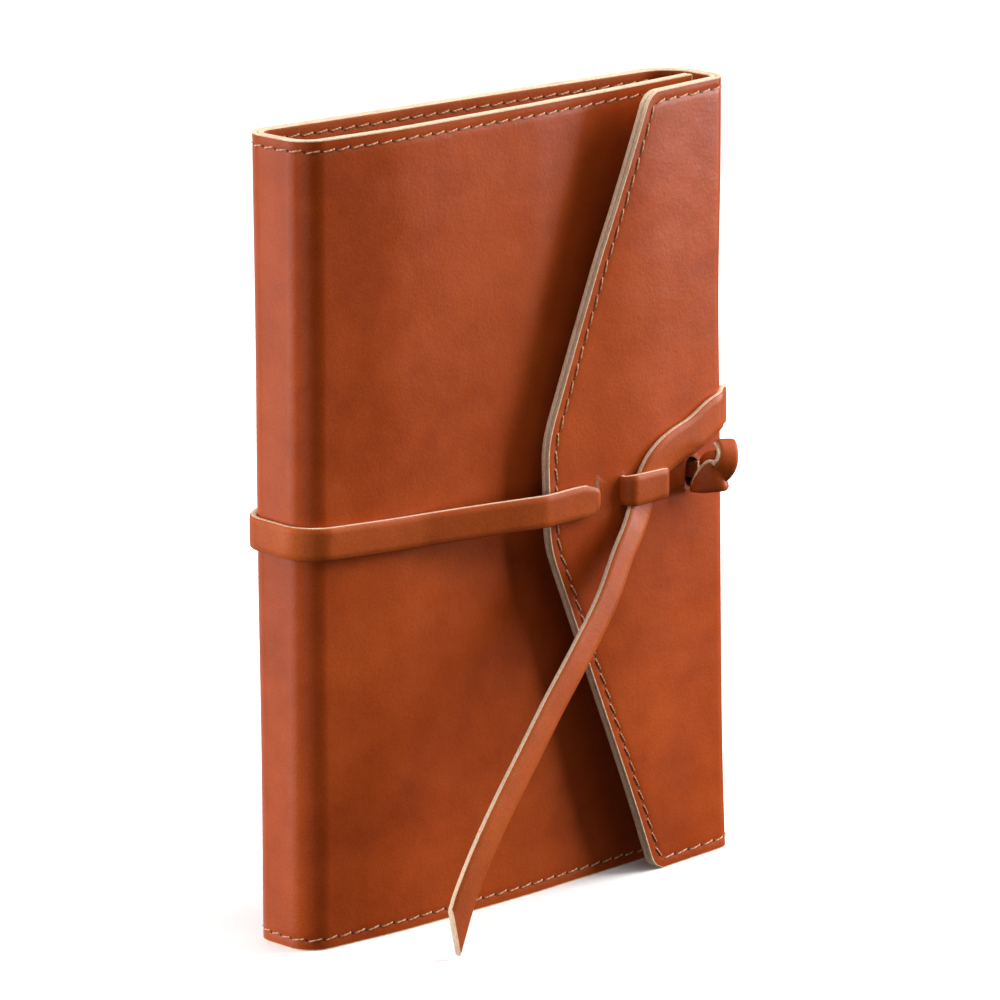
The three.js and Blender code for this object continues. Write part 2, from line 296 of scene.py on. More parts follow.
def edge_distance(s, z):
    """How far a point of the sheet is from the sheet's nearest edge."""
    nearest = np.minimum(np.minimum(z, HEIGHT - z), s - FREE_EDGE)
    on_flap = s > MID_FOLD
    a, b = OUTLINE[:-1], OUTLINE[1:]
    p = np.stack([s, z], axis=-1)[..., None, :]
    span = b - a
    t = np.clip(((p - a) * span).sum(-1) / (span**2).sum(-1), 0, 1)
    to_outline = np.linalg.norm(p - a - t[..., None] * span, axis=-1).min(-1)
    return np.where(on_flap, np.minimum(nearest, to_outline), nearest)


SEAM_DEPTH = 0.16
SEAM_REACH = 0.7


def seam_dip(s, z):
    """How far the stitches pull the leather in."""
    return SEAM_DEPTH * np.exp(-(((edge_distance(s, z) - STITCH_INSET) / SEAM_REACH) ** 2))


# ---- Meshes ----


def new_mesh(name, points, faces, material_of_face, materials, flat):
    """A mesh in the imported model's frame. `flat` is each point's place on its flat leather."""
    mesh = bpy.data.meshes.new(name)
    mesh.from_pydata(to_frame(points).tolist(), [], faces)
    mesh.polygons.foreach_set("material_index", material_of_face)
    attribute = mesh.attributes.new("flat", "FLOAT_VECTOR", "POINT")
    attribute.data.foreach_set("vector", (np.asarray(flat, float) * MM).astype(np.float32).ravel())
    for material in materials:
        mesh.materials.append(material)
    bm = bmesh.new()
    bm.from_mesh(mesh)
    bmesh.ops.recalc_face_normals(bm, faces=bm.faces)
    bm.to_mesh(mesh)
    bm.free()
    soften(mesh)
    piece = bpy.data.objects.new(name, mesh)
    bpy.context.scene.collection.objects.link(piece)
    return piece


class Shape:
    """Points, their places on the flat leather, and faces with their material slots."""

    def __init__(self):
        self.points, self.flats, self.faces, self.slots = [], [], [], []

    def add_tube(self, points, flats, ring, raw_sides=(), cap_slot=0):
        """A closed tube of rings of points. Material slot 1 goes on the ring's raw sides."""
        first, rings = len(self.points), len(points) // ring
        self.points += list(points)
        self.flats += list(flats)
        for start in range(first, first + (rings - 1) * ring, ring):
            for k in range(ring):
                j = (k + 1) % ring
                self.faces.append((start + k, start + j, start + ring + j, start + ring + k))
                self.slots.append(1 if k in raw_sides else 0)
        for start in (first, first + (rings - 1) * ring):
            self.faces.append(tuple(range(start, start + ring)))
            self.slots.append(cap_slot)

    def make(self, name, materials):
        return new_mesh(name, self.points, self.faces, self.slots, materials, self.flats)


def soften(mesh, angle=50):
    mesh.polygons.foreach_set("use_smooth", [True] * len(mesh.polygons))
    mesh.set_sharp_from_angle(angle=math.radians(angle))


EDGE_STEPS = [0, 0.3, 0.9, 1.6, 2.2, 2.6, 3, 3.4, 3.9, 4.8, 6.2, 8]
ROWS = np.concatenate([EDGE_STEPS, spaced(8, HEIGHT - 8, 2.8)[1:-1], HEIGHT - np.array(EDGE_STEPS[::-1])])


def columns_between(start, end, free_start=False):
    """Places along the sheet for a piece's columns: close together at bends and at a free edge."""
    own = COVER.s[(COVER.s > start + 0.3) & (COVER.s < end - 0.3)]
    stops = np.concatenate([[start], own, [end]])
    filled = [spaced(a, b, 4)[:-1] for a, b in zip(stops, stops[1:])]
    columns = np.concatenate([*filled, [end]])
    if free_start:
        columns = np.concatenate([start + np.array(EDGE_STEPS), columns[columns > start + 9]])
    return columns


def row_faces(s, z, top, bottom, ends, is_cap, seam):
    """A row's places along the sheet and the offsets of its two faces, rounded at its free edges."""
    high, low = np.full(len(s), float(top)), np.full(len(s), float(bottom))
    top_rounding = ROUNDING if top else 0  # the outer face keeps a square edge
    high[ends] -= top_rounding
    low[ends] += ROUNDING
    if is_cap:
        high[:], low[:] = top - top_rounding, bottom + ROUNDING
        for k in ends:
            s[k] += 0.5 * ROUNDING * (1 if k == 0 else -1)
    if seam:
        dip = seam_dip(s, np.full(len(s), z))
        high = high - dip if top == 0 else high
        low = low + dip if bottom == -SHEET else low
    return s, high, low


def layer_faces(rows, across, free):
    """The faces of a closed layer of rows of paired points, and which of them are raw edges."""

    def index(i, k, side):
        return (i * across + k) * 2 + side

    faces, slots = [], []
    last = rows - 2
    for i in range(rows - 1):
        for k in range(across - 1):
            is_edge = i in (0, last) or (free[0] and k == 0) or (free[1] and k == across - 2)
            faces += [
                (index(i, k, 0), index(i, k + 1, 0), index(i + 1, k + 1, 0), index(i + 1, k, 0)),
                (index(i, k, 1), index(i + 1, k, 1), index(i + 1, k + 1, 1), index(i, k + 1, 1)),
            ]
            slots += [1 if is_edge else 0] * 2
        for k in (0, across - 1):
            faces.append((index(i, k, 0), index(i + 1, k, 0), index(i + 1, k, 1), index(i, k, 1)))
            slots.append(1)
    for i in (0, rows - 1):
        for k in range(across - 1):
            faces.append((index(i, k, 0), index(i, k, 1), index(i, k + 1, 1), index(i, k + 1, 0)))
            slots.append(1)
    return faces, slots


def sheet_piece(name, columns, top, bottom, materials, free=(False, False), rows=ROWS, seam=True):
    """A closed layer of the sheet between two offsets. columns(z) gives its places along the sheet."""
    points, flats = [], []
    ends = [k for k, is_free in zip((0, -1), free) if is_free]
    for i, z in enumerate(rows):
        is_cap = i in (0, len(rows) - 1)
        s, high, low = row_faces(np.array(columns(z), float), z, top, bottom, ends, is_cap, seam)
        height = np.full(len(s), z)
        points.append(np.stack([sheet(s, z, high), sheet(s, z, low)], axis=1))
        flats.append(np.stack([np.stack([s, height, high], -1), np.stack([s, height, low], -1)], axis=1))
    faces, slots = layer_faces(len(rows), len(points[0]), free)
    return new_mesh(name, np.reshape(points, (-1, 3)), faces, slots, materials, np.reshape(flats, (-1, 3)))


def blend_at(piece, line, bend, reach, height=HEIGHT / 2):
    """Bakes a piece's transform into its mesh; the points either side of the bend are worked out but not
    used.
    """
    start, end = (to_frame([*line.place(s), height]) for s in (bend - reach, bend + reach))
    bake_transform(piece)


# ---- Straps ----

CROWN = 0.1  # how much thinner a strap is towards its edges
EDGE_ROLL = 0.3  # the rounding of a strap's edges, at most
FLAT_SHARE = 0.6  # of a strap's width, where its face is flat
SECTION_POINTS = 12
SECTION_RAW = (4, 5, 9, 10)  # the faces of a section's ring that are the cut edges


def strap(name, centres, faces_out, widths, thicknesses, start_along=0.0, slants=0.0):
    """A closed flat strap through centres. faces_out is the way its good side looks at each, and
    slants says how far each section leans along the strap, for each millimetre across it."""
    centres, faces_out = np.array(centres, float), np.array(faces_out, float)
    count = len(centres)
    widths, thicknesses, slants = (np.broadcast_to(v, count) for v in (widths, thicknesses, slants))
    tangents = unit_rows(np.gradient(centres, axis=0))
    across = unit_rows(np.cross(tangents, faces_out))
    face = np.cross(across, tangents)
    along = start_along + distances(centres)
    points, flats = [], []
    for i in range(count):
        for x, y in strap_section(widths[i], thicknesses[i]):
            points.append(centres[i] + across[i] * x + face[i] * y + tangents[i] * x * slants[i])
            flats.append((along[i], x, y))
    shape = Shape()
    shape.add_tube(points, flats, SECTION_POINTS, SECTION_RAW, cap_slot=1)
    return shape.make(name, [LACE, RAW])


def strap_section(width, thickness):
    """The outline of a strap's section, across and out: a flat strap with slightly rolled edges."""
    w, t = width / 2, thickness / 2
    r = min(EDGE_ROLL, t * 0.5)
    flat = w * FLAT_SHARE
    top = [(-w + r, t - CROWN), (-flat, t), (flat, t), (w - r, t - CROWN)]
    right = [(w, t - CROWN - r), (w, -t + r)]
    under = [(w - r, -t), (flat, -t), (-flat, -t), (-w + r, -t)]
    left = [(-w, -t + r), (-w, t - CROWN - r)]
    return top + right + under + left


def curve_between(a, b, c, d, steps=16):
    """Points from b to c on the centripetal Catmull-Rom curve through a, b, c and d."""
    t = np.cumsum([0, *(np.linalg.norm(v - u) ** 0.5 for u, v in ((a, b), (b, c), (c, d)))])
    points = []
    for x in np.linspace(t[1], t[2], steps, endpoint=False):
        ab = a + (b - a) * (x - t[0]) / (t[1] - t[0])
        bc = b + (c - b) * (x - t[1]) / (t[2] - t[1])
        cd = c + (d - c) * (x - t[2]) / (t[3] - t[2])
        abc = ab + (bc - ab) * (x - t[0]) / (t[2] - t[0])
        bcd = bc + (cd - bc) * (x - t[1]) / (t[3] - t[1])
        points.append(abc + (bcd - abc) * (x - t[1]) / (t[2] - t[1]))
    return points


def smooth_route(points, step):
    """Evenly spaced points on a smooth curve through points."""
    p = np.array(points, float)
    p = np.vstack([2 * p[0] - p[1], p, 2 * p[-1] - p[-2]])
    fine = []
    for a, b, c, d in zip(p, p[1:], p[2:], p[3:]):
        fine += curve_between(a, b, c, d)
    fine = np.array([*fine, p[-2]])
    along = distances(fine)
    at = spaced(0, along[-1], step)
    return np.stack([np.interp(at, along, fine[:, k]) for k in range(fine.shape[1])], axis=1)


# ---- Materials ----


class Nodes:
    """A short way to write a material's nodes."""

    def __init__(self, name):
        self.material = bpy.data.materials.new(name)
        self.material.use_nodes = True
        self.tree = self.material.node_tree
        self.shader = self.tree.nodes["Principled BSDF"]
        self.output = self.tree.nodes["Material Output"]

    def add(self, kind, inputs=(), **settings):
        node = self.tree.nodes.new(kind)
        for key, value in settings.items():
            setattr(node, key, value)
        for key, value in dict(inputs).items():
            self.set(node.inputs[key], value)
        return node

    def set(self, socket, value):
        if isinstance(value, bpy.types.NodeSocket):
            self.tree.links.new(value, socket)
        else:
            socket.default_value = value

    def flat(self):
        return self.add("ShaderNodeAttribute", attribute_name="flat").outputs["Vector"]

    def noise(self, vector, scale, detail=2.0, roughness=0.5):
        inputs = {"Vector": vector, "Scale": scale, "Detail": detail, "Roughness": roughness}
        return self.add("ShaderNodeTexNoise", inputs).outputs["Fac"]

    def ramp(self, factor, stops):
        node = self.add("ShaderNodeValToRGB", {"Fac": factor})
        elements = node.color_ramp.elements
        while len(elements) < len(stops):
            elements.new(0.5)
        for element, (position, color) in zip(elements, stops):
            element.position = position
            element.color = (*color, 1)
        return node.outputs["Color"]

    def mix(self, factor, a, b, blend_type="MIX"):
        node = self.add("ShaderNodeMix", data_type="RGBA", blend_type=blend_type)
        for socket, value in ((node.inputs[0], factor), (node.inputs[6], a), (node.inputs[7], b)):
            self.set(socket, value if isinstance(value, (float, bpy.types.NodeSocket)) else (*value, 1))
        return node.outputs[2]

    def math(self, operation, a, b=0.0, clamp=False):
        node = self.add("ShaderNodeMath", operation=operation, use_clamp=clamp)
        self.set(node.inputs[0], a)
        self.set(node.inputs[1], b)
        return node.outputs[0]

    def bump(self, height, strength, distance, below=None):
        inputs = {"Height": height, "Strength": strength, "Distance": distance}
        if below is not None:
            inputs["Normal"] = below
        return self.add("ShaderNodeBump", inputs).outputs["Normal"]

    def shade(self, **sockets):
        for name, value in sockets.items():
            self.set(self.shader.inputs[name.replace("_", " ")], value)
        return self.material


def grain_leather(name, tone, gloss, grain, shine):
    """Smooth dyed leather: slightly cloudy colour, a fine grain and a polished face."""
    n = Nodes(name)
    flat = n.flat()
    clouds = n.noise(flat, 17, 3, 0.5)
    blotches = n.noise(flat, 80, 4, 0.6)
    cloudy = n.math("ADD", n.math("MULTIPLY", clouds, 0.6), n.math("MULTIPLY", blotches, 0.4))
    dark = tuple(c * f for c, f in zip(tone, (0.82, 0.76, 0.72)))
    light = tuple(c * f for c, f in zip(tone, (1.16, 1.24, 1.3)))
    color = n.ramp(cloudy, [(0.36, dark), (0.5, tone), (0.64, light)])
    speckle = n.ramp(n.noise(flat, 1700, 2, 0.65), [(0.36, (0.72, 0.66, 0.62)), (0.56, (1, 1, 1))])
    color = n.mix(0.5, color, speckle, "MULTIPLY")
    cells = n.add("ShaderNodeTexVoronoi", {"Vector": flat, "Scale": 1150.0}, feature="SMOOTH_F1")
    pores = n.math("ADD", cells.outputs["Distance"], n.math("MULTIPLY", n.noise(flat, 2600, 3), 0.5))
    normal = n.bump(pores, grain, 0.0002)
    normal = n.bump(n.noise(flat, 110, 2, 0.4), 0.25, 0.0006, below=normal)
    roughness = n.math("ADD", gloss, n.math("MULTIPLY", n.noise(flat, 60, 4), 0.14))
    return n.shade(Base_Color=color, Roughness=roughness, Normal=normal, Specular_IOR_Level=shine)


def raw_edge(name, pale, shadow):
    """The cut edge of undyed leather: fibres, with some dye rubbed onto it."""
    n = Nodes(name)
    flat = n.flat()
    stretched = n.add("ShaderNodeMapping", {"Vector": flat, "Scale": (1.0, 1.0, 3.0)}).outputs["Vector"]
    fibres = n.noise(stretched, 900, 5, 0.7)
    stains = n.noise(flat, 130, 3, 0.6)
    color = n.ramp(fibres, [(0.3, shadow), (0.52, pale), (0.8, tuple(min(1, 1.12 * c) for c in pale))])
    stain = n.ramp(stains, [(0.55, (0, 0, 0)), (0.72, (1, 1, 1))])
    color = n.mix(n.math("MULTIPLY", stain, 0.4), color, (0.5, 0.2, 0.07))
    normal = n.bump(fibres, 0.7, 0.0004)
    return n.shade(Base_Color=color, Roughness=0.85, Normal=normal)


def waxed_thread(name):
    """Tan twisted thread, with painted shade darkening the grooves of its twist."""
    n = Nodes(name)
    flat = n.flat()
    twist = n.add("ShaderNodeTexWave", {
        "Vector": flat, "Scale": 420.0, "Distortion": 1.5, "Detail": 1.0,
    }, bands_direction="DIAGONAL").outputs["Fac"]
    # Painted shade: the low bands of the twist, which the bump sinks, are coloured darker.
    color = n.ramp(twist, [(0.1, (0.36, 0.17, 0.07)), (0.6, (0.62, 0.36, 0.19))])
    return n.shade(Base_Color=color, Roughness=0.6, Normal=n.bump(twist, 0.6, 0.0001))


# Painted shade: a near-black colour, varied at random, standing in for the shadow inside needle holes and
# the knot's slit.
def painted_hole_shade(name):
    n = Nodes(name)
    depth = n.noise(n.flat(), 800, 2)
    color = n.ramp(depth, [(0.3, (0.02, 0.006, 0.003)), (0.8, (0.05, 0.014, 0.006))])
    return n.shade(Base_Color=color, Roughness=0.9)


def pale_paper(name):
    n = Nodes(name)
    speck = n.noise(n.add("ShaderNodeTexCoord").outputs["Object"], 3, 2)
    color = n.ramp(speck, [(0.3, (0.9, 0.9, 0.9)), (0.7, (0.92, 0.92, 0.92))])
    return n.shade(Base_Color=color, Roughness=0.6)


make_camera()
LEATHER = grain_leather("cover_leather", (0.385, 0.060, 0.009), 0.26, 0.14, 0.14)
LINING = grain_leather("lining_leather", (0.40, 0.078, 0.015), 0.5, 0.2, 0.1)
LACE = grain_leather("lace_leather", (0.40, 0.074, 0.013), 0.32, 0.14, 0.11)
RAW = raw_edge("raw_edge", (0.74, 0.55, 0.38), (0.52, 0.33, 0.19))
THREAD_MATERIAL = waxed_thread("thread")
# Painted shade for the needle holes and the knot's slit walls.
HOLE_SHADE = painted_hole_shade("painted_hole_shade")

# ---- Cord: the lace's free end ----

CROSS_ROUTE = [
    (68, 128.1), (60, 124.8), (52, 122.8), (46.8, 121),
    (42.2, 118.2), (39.3, 114.5), (37.4, 110.6), (36.2, 108.2),
]  # x and height of the lace's middle on the flap
TAIL_ROUTE = [
    (34.6, -19.5, 106.6), (31.2, -21, 102.7), (25.4, -23, 96.7), (16.5, -26, 85.8), (1.1, -30.5, 71.9),
    (-10.5, -33.2, 61.4), (-21.9, -35.8, 50.2), (-33.2, -38.2, 38.8), (-42.6, -40.2, 28.4),
    (-51.2, -42, 16.9), (-57.4, -43.7, 6.3),
]
LACE_MIDDLE = LACE_LIFT + LACE_THICKNESS / 2
ROUTE_STEP = 1.5
TAIL_START = 107.5  # the height at which the tail takes over, under the loop


def lace_crossing():
    """The lace's middle and its face's direction, from the fold over the flap to its tip."""
    start = [(FOLD_FRONT - 4, 129.7), (FOLD_FRONT + 2, 129.5)]
    route = smooth_route([*start, *((COVER.at_x(x, FOLD_FRONT), z) for x, z in CROSS_ROUTE)], ROUTE_STEP)
    on_flap = np.column_stack([COVER.place(route[:, 0], np.full(len(route), LACE_MIDDLE)), route[:, 1]])
    normals = np.column_stack([COVER.normal(route[:, 0]), np.zeros(len(route))])
    centres = smooth_route(np.vstack([on_flap[:-3], TAIL_ROUTE]), ROUTE_STEP)
    nearest = [np.linalg.norm(on_flap - c, axis=1).argmin() for c in centres]
    return centres, normals[nearest]


TAIL_CUT = 10.5  # how much longer one edge of the tail is than the other
TAIL_CUT_REACH = 16  # how far from the tip the sections start to slant
TAIL_TAPER = 12  # over what length the lace narrows to the tail's width


def make_tail(centres, faces):
    """The free end, cut on the slant."""
    centres, faces = centres[:-1], faces[:-1]
    along = distances(centres)
    slants = -TAIL_CUT / TAIL_WIDTH * smoothstep(along[-1] - TAIL_CUT_REACH, along[-1], along)
    widths = TAIL_WIDTH + (LACE_WIDTH - TAIL_WIDTH) * smoothstep(TAIL_TAPER, 0, along)
    piece = strap("tail_strap", centres, faces, widths, LACE_THICKNESS, slants=slants)
    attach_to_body(piece, "tie_tail")
    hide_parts("lace_tail")


crossing, crossing_faces = lace_crossing()
joint_at = int(np.abs(crossing[:, 2] - TAIL_START).argmin())
make_tail(crossing[joint_at:], crossing_faces[joint_at:])

# ---- The sheet's pieces ----


FLAP_FLAT = FOLD_FRONT + 14  # where the flap is past its bend


def flap_columns(z):
    start = columns_between(MID_FOLD, FLAP_FLAT)
    edge = flap_edge(z)
    middle = np.linspace(FLAP_FLAT, edge - 8.5, 16)[1:-1]
    return np.concatenate([start, middle, edge - 1.08 * np.array(EDGE_STEPS[::-1])])


PANEL_PIECES = [
    ("front_leaf", lambda z: columns_between(FREE_EDGE, MID_FRONT, free_start=True), (True, False)),
    ("front_corner", lambda z: columns_between(MID_FRONT, MID_SPINE), (False, False)),
    ("spine_corner", lambda z: columns_between(MID_SPINE, MID_BACK), (False, False)),
    ("back_corner", lambda z: columns_between(MID_BACK, MID_FOLD), (False, False)),
    ("flap_leaf", flap_columns, (False, True)),
]
RIDES = {  # the two bodies at either side of a piece's bend, where the bend is, and how far on each side
    "front_corner": ("front", "spine", SPINE_FRONT, 6.5),
    "spine_corner": ("spine", "back", SPINE_BACK, 6.5),
    "back_corner": ("back", "fold", FOLD_BACK, 9),
    "flap_leaf": ("fold", "flap", FOLD_FRONT, 6),
}
STANDS_FOR = {
    "front_leaf": "front",
    "front_corner": "spine",
    "spine_corner": "back",
    "back_corner": "fold",
    "flap_leaf": "flap",
}


def attach(piece, panel):
    """Rides on the panel's body, or, for a piece in RIDES, only has its transform baked."""
    if panel in RIDES:
        a, b, bend, reach = RIDES[panel]
        blend_at(piece, COVER, bend, reach)
    else:
        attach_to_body(piece, "front")


SLIT_HALF = 1.15  # half of a slit's width
CUT_DEPTH = 3.0  # how far the cutter reaches past each face
KNOT_SLIT = (4.6, 2.3)  # the knot pulls its slit open: towards the fold and towards the free edge
RING = 24  # points round a slit


def slit_cutter(name, materials):
    """A prism through the flap, narrow with round ends."""
    middle = COVER.at_x(SLITS[name], FOLD_FRONT)
    angles = np.arange(RING) * 2 * math.pi / RING
    back, ahead = KNOT_SLIT if name == "knot" else (SLIT_HALF, SLIT_HALF)
    reach = np.where(np.cos(angles) > 0, ahead, back)
    along = middle + reach * np.cos(angles)
    up = LOOP_HEIGHT + (LOOP_WIDTH / 2 - 0.2) * np.sin(angles)
    shape = Shape()
    outs = (CUT_DEPTH, -SHEET - CUT_DEPTH)
    points = [(*COVER.place(s, out), z) for out in outs for s, z in zip(along, up)]
    flats = [(s, z, -1.0) for s, z in zip(along, up)] * 2
    shape.add_tube(points, flats, RING, range(RING), cap_slot=1)
    # The knot's slit walls take slot 2, the near-black painted hole shade.
    if name == "knot":
        shape.slots = [2] * len(shape.slots)
    return shape.make(f"slit_{name}", materials)


def cut_slits(piece):
    """Cuts the lace's slits. The knot hangs over its slit, whose walls are painted near black as the shade
    under the knot.
    """
    piece.data.materials.append(HOLE_SHADE)
    cutters = [slit_cutter(name, list(piece.data.materials)) for name in SLITS]
    for cutter in cutters:
        modifier = piece.modifiers.new("slit", "BOOLEAN")
        modifier.object = cutter
        modifier.operation = "DIFFERENCE"
        modifier.solver = "EXACT"
    evaluated = piece.evaluated_get(bpy.context.evaluated_depsgraph_get())
    cut = bpy.data.meshes.new_from_object(evaluated)
    piece.modifiers.clear()
    piece.data = cut
    soften(cut)
    for cutter in cutters:
        bpy.data.objects.remove(cutter)


def make_layer(layer, top, bottom, material):
    for panel, columns, free in PANEL_PIECES:
        piece = sheet_piece(f"{layer}_{panel}", columns, top, bottom, [material, RAW], free)
        if panel == "flap_leaf":
            cut_slits(piece)
        attach(piece, panel)
        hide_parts(f"{layer}_{STANDS_FOR[panel]}")


make_layer("outer", 0, -OUTER_LEATHER, LEATHER)
make_layer("lining", -OUTER_LEATHER - GLUE_LINE, -SHEET, LINING)


def make_sleeve(name, start, end, body):
    face = -SHEET - SLEEVE_GAP
    low, high = SLEEVE_MARGIN, HEIGHT - SLEEVE_MARGIN
    rows = np.concatenate([[low, low + ROUNDING], spaced(low + 2, high - 2, 4), [high - ROUNDING, high]])
    columns = columns_between(start, end, free_start=True)
    columns = np.concatenate([columns[:-1], end - np.array([ROUNDING, 0])])
    piece = sheet_piece(
        name, lambda z: columns, face, face - SLEEVE, [LINING, RAW], (True, True), rows, seam=False,
    )
    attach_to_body(piece, body)
    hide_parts(f"sleeve_{body}")


sleeve_end = SPINE_BACK + SLEEVE_END_X - SPINE_X
make_sleeve("front_sleeve", SLEEVE_START, SLEEVE_START + SLEEVE_WIDTH, "front")
make_sleeve("back_sleeve", sleeve_end - SLEEVE_WIDTH, sleeve_end, "back")

# ---- Stitches ----


def seam_path():
    """The seam on the flat sheet: round the front's free edge, along both long edges, and round the flap."""
    plane = outline_in_plane.place(spaced(0, outline_in_plane.length, 1), STITCH_INSET)
    keep = plane[plane[:, 0] < 70]
    flap = np.column_stack([COVER.at_x(keep[:, 0], FOLD_FRONT), keep[:, 1]])
    top = [(FREE_EDGE + STITCH_INSET, HEIGHT - STITCH_INSET)]
    return np.vstack([top, flap, [(FREE_EDGE + STITCH_INSET, STITCH_INSET)], top])


def along_path(path, pitch):
    """Evenly pitched places on a path, each with the path's direction."""
    along = distances(path)
    count = round(along[-1] / pitch)
    at = (np.arange(count) + 0.5) * along[-1] / count
    places = np.stack([np.interp(at, along, path[:, k]) for k in range(2)], axis=1)
    ahead = np.stack([np.interp(at + 0.5, along, path[:, k]) for k in range(2)], axis=1)
    return places, unit_rows(ahead - places), along[-1] / count


# A stitch's middle line, as (share of the pitch along it, millimetres out of the face).
STITCH_PROFILE = [(-0.38, -0.3), (-0.36, 0), (-0.26, 0.17), (0, 0.2), (0.26, 0.17), (0.36, 0), (0.38, -0.3)]
STITCH_SIDES = 6
STITCH_SECTION = (0.5, 0.42)  # half its width and half its height, as shares of the thread's diameter
STITCH_SINK = 0.08
STITCH_SLANT = math.radians(-9)  # of a stitch to its seam
STITCH_SHIFT = 0.06  # how far a stitch strays from the seam's middle, as a standard deviation
HOLE_POINTS = 8
HOLE_RINGS = ((-0.1, 1.0), (-0.3, 0.75))  # depth and share of its size, at the top and at the bottom
SEAMS = {
    "front_leaf": (-1, MID_FRONT, ["thread_front"]),
    "front_corner": (MID_FRONT, MID_SPINE, ["thread_spine_top", "thread_spine_bottom"]),
    "spine_corner": (MID_SPINE, MID_BACK, ["thread_back_top", "thread_back_bottom"]),
    "back_corner": (MID_BACK, MID_FOLD, ["thread_fold_top", "thread_fold_bottom"]),
    "flap_leaf": (MID_FOLD, math.inf, ["thread_flap"]),
}


def make_seams():
    places, directions, pitch = along_path(seam_path(), STITCH_PITCH)
    rng = np.random.default_rng(4)
    leans = STITCH_SLANT * rng.uniform(0.7, 1.3, len(places))
    shifts = rng.normal(0, STITCH_SHIFT, len(places))
    for panel, (low, high, nodes) in SEAMS.items():
        shape = Shape()
        for place, direction, lean, shift in zip(places, directions, leans, shifts):
            if not low < place[0] <= high:
                continue
            for side, turn in ((0, lean), (1, -lean)):
                middle = place + left_of(direction) * shift
                add_stitch(shape, middle, turned(direction, turn) * pitch, side)
                add_hole(shape, place + direction * pitch / 2, side)
        piece = shape.make(f"stitches_{panel}", [THREAD_MATERIAL, HOLE_SHADE])
        attach(piece, panel)
        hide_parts(*nodes)


def face_of(side, out):
    """The offset of something that stands out from the outer side (0) or the inner side (1)."""
    return out if side == 0 else -SHEET - out


def add_stitch(shape, middle, span, side):
    """One stitch: a short rounded thread that dips into its two needle holes."""
    points, flats = [], []
    half_width, half_height = STITCH_SECTION
    beside = left_of(unit(span))
    for along, out in STITCH_PROFILE:
        for k in range(STITCH_SIDES):
            a = 2 * math.pi * k / STITCH_SIDES
            s, z = middle + span * along + beside * half_width * THREAD * math.cos(a)
            height = face_of(side, out + half_height * THREAD * math.sin(a) - STITCH_SINK)
            points.append(sheet(s, z, height))
            flats.append((s, z, height))
    shape.add_tube(points, flats, STITCH_SIDES)


def add_hole(shape, place, side):
    """A needle hole: an upright slot in the seam's channel, coloured near black as painted shade."""
    points, flats = [], []
    for depth, size in HOLE_RINGS:
        for k in range(HOLE_POINTS):
            a = 2 * math.pi * k / HOLE_POINTS
            s = place[0] + size * HOLE_SIZE[0] * math.cos(a)
            z = place[1] + size * HOLE_SIZE[1] * math.sin(a)
            height = face_of(side, depth)
            points.append(sheet(s, z, height))
            flats.append((s, z, height))
    shape.add_tube(points, flats, HOLE_POINTS, range(HOLE_POINTS), cap_slot=1)


make_seams()

# ---- The lace round the cover ----

FRONT_END = 2.5  # how far past the front slit the weave ends and the front strap starts
LACE_LINE = RoundedLine([
    (*COVER.place(COVER.at_x(SLITS["front"] - FRONT_END, FOLD_FRONT), LACE_MIDDLE), 0),
    (-2, -20.5, 12),
    (-42, -14.7, 40),
    (SPINE_X - LACE_MIDDLE, FRONT_CORNER[1] - LACE_MIDDLE - 0.1, SPINE_RADIUS + LACE_MIDDLE),
    (SPINE_X - LACE_MIDDLE, BACK_Y + LACE_MIDDLE, SPINE_RADIUS + LACE_MIDDLE),
    (FOLD_X + LACE_MIDDLE, BACK_Y + LACE_MIDDLE, FOLD_RADIUS + LACE_MIDDLE),
    (FOLD_X + LACE_MIDDLE, FLAP_CORNER[1] - LACE_MIDDLE, FLAP_RADIUS + LACE_MIDDLE),
    (*COVER.place(COVER.at_x(50, FOLD_FRONT), LACE_MIDDLE), 0),
])
LACE_SPINE_FRONT, LACE_SPINE_BACK, LACE_FOLD_BACK, LACE_FOLD_FRONT = LACE_LINE.bends[2:]
# Heights of the lace's middle, as (distance along its line, height).
LACE_HEIGHTS = [
    (0, 112.7), (5, 113.2), (15, 112.9), (40, 113.1), (62, 113.1), (75, 113.5), (LACE_SPINE_FRONT, 114.65),
    (LACE_SPINE_BACK, 115.1), (LACE_FOLD_BACK, 128), (LACE_FOLD_FRONT - 4, 129.7),
]


def lace_height(s):
    knots = np.array(LACE_HEIGHTS)
    wide = np.linspace(-3, 3, 7)
    return np.mean([np.interp(s + w, knots[:, 0], knots[:, 1]) for w in wide], axis=0)


SLIT_END = 5.4  # length of the lace's round end where it comes out of the front slit


def round_end(inward):
    """How wide a round end is, as a share, from 0 at its tip to 1 where it is full."""
    inward = np.clip(inward, 0, 1)
    return np.sqrt(1 - (1 - inward) ** 2)


def width_near_slit(x):
    """The lace's width, drawn in to a round end where it comes out of the front slit."""
    return LACE_WIDTH * (0.14 + 0.86 * round_end((SLITS["front"] - 0.1 - x) / SLIT_END))


def width_round_cover(s):
    """How much wider the lace is, from the spine on towards the fold."""
    return (CROSSING_WIDTH - LACE_WIDTH) * smoothstep(LACE_SPINE_BACK + 20, LACE_FOLD_BACK - 10, s)


def lace_run(name, start, end):
    own = LACE_LINE.s[(LACE_LINE.s > start + 0.2) & (LACE_LINE.s < end - 0.2)]
    stops = np.concatenate([[start], own, [end]])
    s = np.unique(np.concatenate([spaced(a, b, 3) for a, b in zip(stops, stops[1:])]))
    centres = np.column_stack([LACE_LINE.place(s), lace_height(s)])
    shift = sheet_shift(centres)
    faces = np.column_stack([LACE_LINE.normal(s), np.zeros(len(s))])
    near_slit = np.where(s < LACE_SPINE_FRONT, width_near_slit(centres[:, 0]), LACE_WIDTH)
    return strap(name, centres + shift, faces, near_slit + width_round_cover(s), LACE_THICKNESS, start)


LACE_OFF_FOLD = 0.5  # how far the lace stands off the fold


